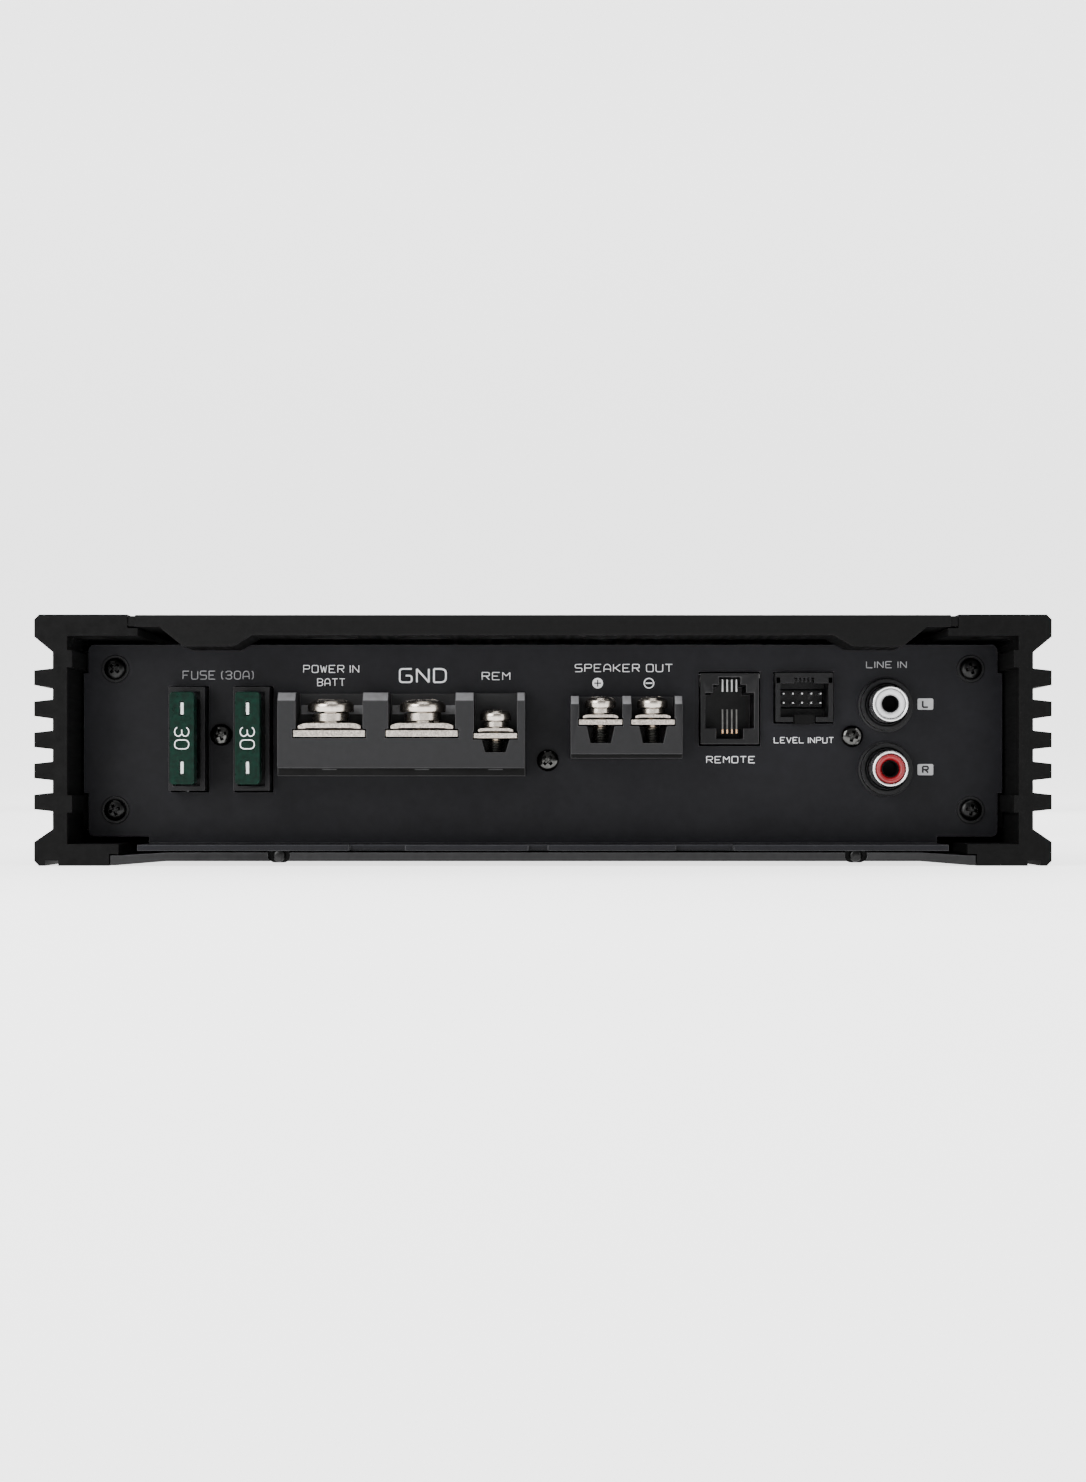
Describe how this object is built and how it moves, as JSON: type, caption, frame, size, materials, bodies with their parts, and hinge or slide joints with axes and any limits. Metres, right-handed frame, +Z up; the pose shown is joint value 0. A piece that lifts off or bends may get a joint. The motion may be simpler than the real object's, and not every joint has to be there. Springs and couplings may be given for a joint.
{
  "type": "car amplifier",
  "caption": "Car audio power amplifier: finned side heatsinks, recessed terminal end with screw terminals, pull-out blade fuses and sockets, and a control end with knobs.",
  "frame": {"origin": "middle of the footprint, on the surface it rests on", "axes": "+Z up, -Y out of the terminal end, +Y out of the control end, +X to the right seen from the terminal end"},
  "size_m": [0.208, 0.22, 0.0514],
  "materials": {
    "heatsink_black": "black anodised, matte",
    "cover_black": "black anodised, matte",
    "bottom_plate_grey": "dark satin",
    "panel_black": "satin black with a bluish tint",
    "screw_black": "black zinc, semi-gloss",
    "terminal_nickel": "satin nickel plate",
    "block_grey": "moulded dark grey plastic",
    "socket_black": "moulded black plastic",
    "fuse_green": "dark clear green plastic",
    "fuse_metal": "tin plate",
    "phono_nickel": "nickel plate",
    "insert_white": "moulded white plastic",
    "insert_red": "moulded red plastic",
    "knob_black": "moulded black plastic",
    "light_lens": "clear blue plastic lens",
    "board_green": "solder resist on glass fibre board",
    "coil_copper": "lacquered copper wire",
    "capacitor_sleeve": "shrink sleeve",
    "transistor_black": "epoxy packages under a steel bar"
  },
  "bodies": {
    "chassis": {"left_heatsink": "heatsink_black", "right_heatsink": "heatsink_black", "top_cover": "cover_black", "bottom_plate": "bottom_plate_grey", "terminal_panel": "panel_black", "control_panel": "panel_black", "fuse_holder": "socket_black", "power_terminal_block": "block_grey", "speaker_terminal_block": "block_grey", "remote_socket": "socket_black", "level_input_socket": "socket_black", "level_input_pins": "terminal_nickel", "phono_socket_body": "socket_black", "phono_shell_left": "phono_nickel", "phono_shell_right": "phono_nickel", "phono_insert_left": "insert_white", "phono_insert_right": "insert_red", "filter_switch_body": "socket_black", "power_light": "light_lens", "control_board": "board_green", "main_board": "board_green", "power_transformer": "coil_copper", "output_inductor": "coil_copper", "storage_capacitor_1": "capacitor_sleeve", "storage_capacitor_2": "capacitor_sleeve", "transistor_bank_left": "transistor_black", "transistor_bank_right": "transistor_black", "fuse_holder_screw": "screw_black", "terminal_block_screw": "screw_black", "input_socket_screw": "screw_black", "panel_screw_left_lower": "screw_black", "panel_screw_left_upper": "screw_black", "panel_screw_right_lower": "screw_black", "panel_screw_right_upper": "screw_black", "battery_plate": "terminal_nickel", "ground_plate": "terminal_nickel", "remote_plate": "terminal_nickel", "speaker_plus_plate": "terminal_nickel", "speaker_minus_plate": "terminal_nickel", "sensitivity_control": "socket_black", "crossover_control": "socket_black", "bass_control": "socket_black"},
    "fuse_1": {"fuse_body_1": "fuse_green", "fuse_element_1": "fuse_metal"},
    "fuse_2": {"fuse_body_2": "fuse_green", "fuse_element_2": "fuse_metal"},
    "battery_clamp": {"battery_clamp": "terminal_nickel"},
    "battery_screw": {"battery_screw": "terminal_nickel"},
    "ground_clamp": {"ground_clamp": "terminal_nickel"},
    "ground_screw": {"ground_screw": "terminal_nickel"},
    "remote_clamp": {"remote_clamp": "terminal_nickel"},
    "remote_screw": {"remote_screw": "terminal_nickel"},
    "speaker_plus_clamp": {"speaker_plus_clamp": "terminal_nickel"},
    "speaker_plus_screw": {"speaker_plus_screw": "terminal_nickel"},
    "speaker_minus_clamp": {"speaker_minus_clamp": "terminal_nickel"},
    "speaker_minus_screw": {"speaker_minus_screw": "terminal_nickel"},
    "sensitivity_knob": {"sensitivity_knob": "knob_black"},
    "crossover_knob": {"crossover_knob": "knob_black"},
    "bass_knob": {"bass_knob": "knob_black"},
    "filter_slider": {"filter_switch_slider": "knob_black"}
  },
  "joints": [
    {"name": "fuse_1_pull", "type": "slide", "parent": "chassis", "child": "fuse_1", "axis": [0, -1, 0], "range_m": [0, 0.025]},
    {"name": "fuse_2_pull", "type": "slide", "parent": "chassis", "child": "fuse_2", "axis": [0, -1, 0], "range_m": [0, 0.025]},
    {"name": "battery_clamp_lift", "type": "slide", "parent": "chassis", "child": "battery_clamp", "axis": [0, 0, 1], "range_m": [0, 0.0032]},
    {"name": "battery_screw_turn", "type": "hinge", "parent": "battery_clamp", "child": "battery_screw", "pos_m": [-0.0441, -0.0996, 0.03], "axis": [0, 0, 1], "range_deg": [0, 1441]},
    {"name": "ground_clamp_lift", "type": "slide", "parent": "chassis", "child": "ground_clamp", "axis": [0, 0, 1], "range_m": [0, 0.0032]},
    {"name": "ground_screw_turn", "type": "hinge", "parent": "ground_clamp", "child": "ground_screw", "pos_m": [-0.025, -0.0996, 0.03], "axis": [0, 0, 1], "range_deg": [0, 1441]},
    {"name": "remote_clamp_lift", "type": "slide", "parent": "chassis", "child": "remote_clamp", "axis": [0, 0, 1], "range_m": [0, 0.0025]},
    {"name": "remote_screw_turn", "type": "hinge", "parent": "remote_clamp", "child": "remote_screw", "pos_m": [-0.0098, -0.1007, 0.03], "axis": [0, 0, 1], "range_deg": [0, 1801]},
    {"name": "speaker_plus_clamp_lift", "type": "slide", "parent": "chassis", "child": "speaker_plus_clamp", "axis": [0, 0, 1], "range_m": [0, 0.0025]},
    {"name": "speaker_plus_screw_turn", "type": "hinge", "parent": "speaker_plus_clamp", "child": "speaker_plus_screw", "pos_m": [0.0119, -0.1007, 0.03], "axis": [0, 0, 1], "range_deg": [0, 1801]},
    {"name": "speaker_minus_clamp_lift", "type": "slide", "parent": "chassis", "child": "speaker_minus_clamp", "axis": [0, 0, 1], "range_m": [0, 0.0025]},
    {"name": "speaker_minus_screw_turn", "type": "hinge", "parent": "speaker_minus_clamp", "child": "speaker_minus_screw", "pos_m": [0.0227, -0.1007, 0.03], "axis": [0, 0, 1], "range_deg": [0, 1801]},
    {"name": "sensitivity_knob_turn", "type": "hinge", "parent": "chassis", "child": "sensitivity_knob", "pos_m": [-0.034, 0.095, 0.027], "axis": [0, 1, 0], "range_deg": [-150, 150]},
    {"name": "crossover_knob_turn", "type": "hinge", "parent": "chassis", "child": "crossover_knob", "pos_m": [-0.01, 0.095, 0.027], "axis": [0, 1, 0], "range_deg": [-150, 150]},
    {"name": "bass_knob_turn", "type": "hinge", "parent": "chassis", "child": "bass_knob", "pos_m": [0.014, 0.095, 0.027], "axis": [0, 1, 0], "range_deg": [-150, 150]},
    {"name": "filter_slide", "type": "slide", "parent": "chassis", "child": "filter_slider", "axis": [1, 0, 0], "range_m": [0, 0.003]}
  ],
  "couplings": [
    {"joint": "battery_screw_turn", "follows": "battery_clamp_lift", "rad_per_m": 7854},
    {"joint": "ground_screw_turn", "follows": "ground_clamp_lift", "rad_per_m": 7854},
    {"joint": "remote_screw_turn", "follows": "remote_clamp_lift", "rad_per_m": 12566},
    {"joint": "speaker_plus_screw_turn", "follows": "speaker_plus_clamp_lift", "rad_per_m": 12566},
    {"joint": "speaker_minus_screw_turn", "follows": "speaker_minus_clamp_lift", "rad_per_m": 12566}
  ]
}
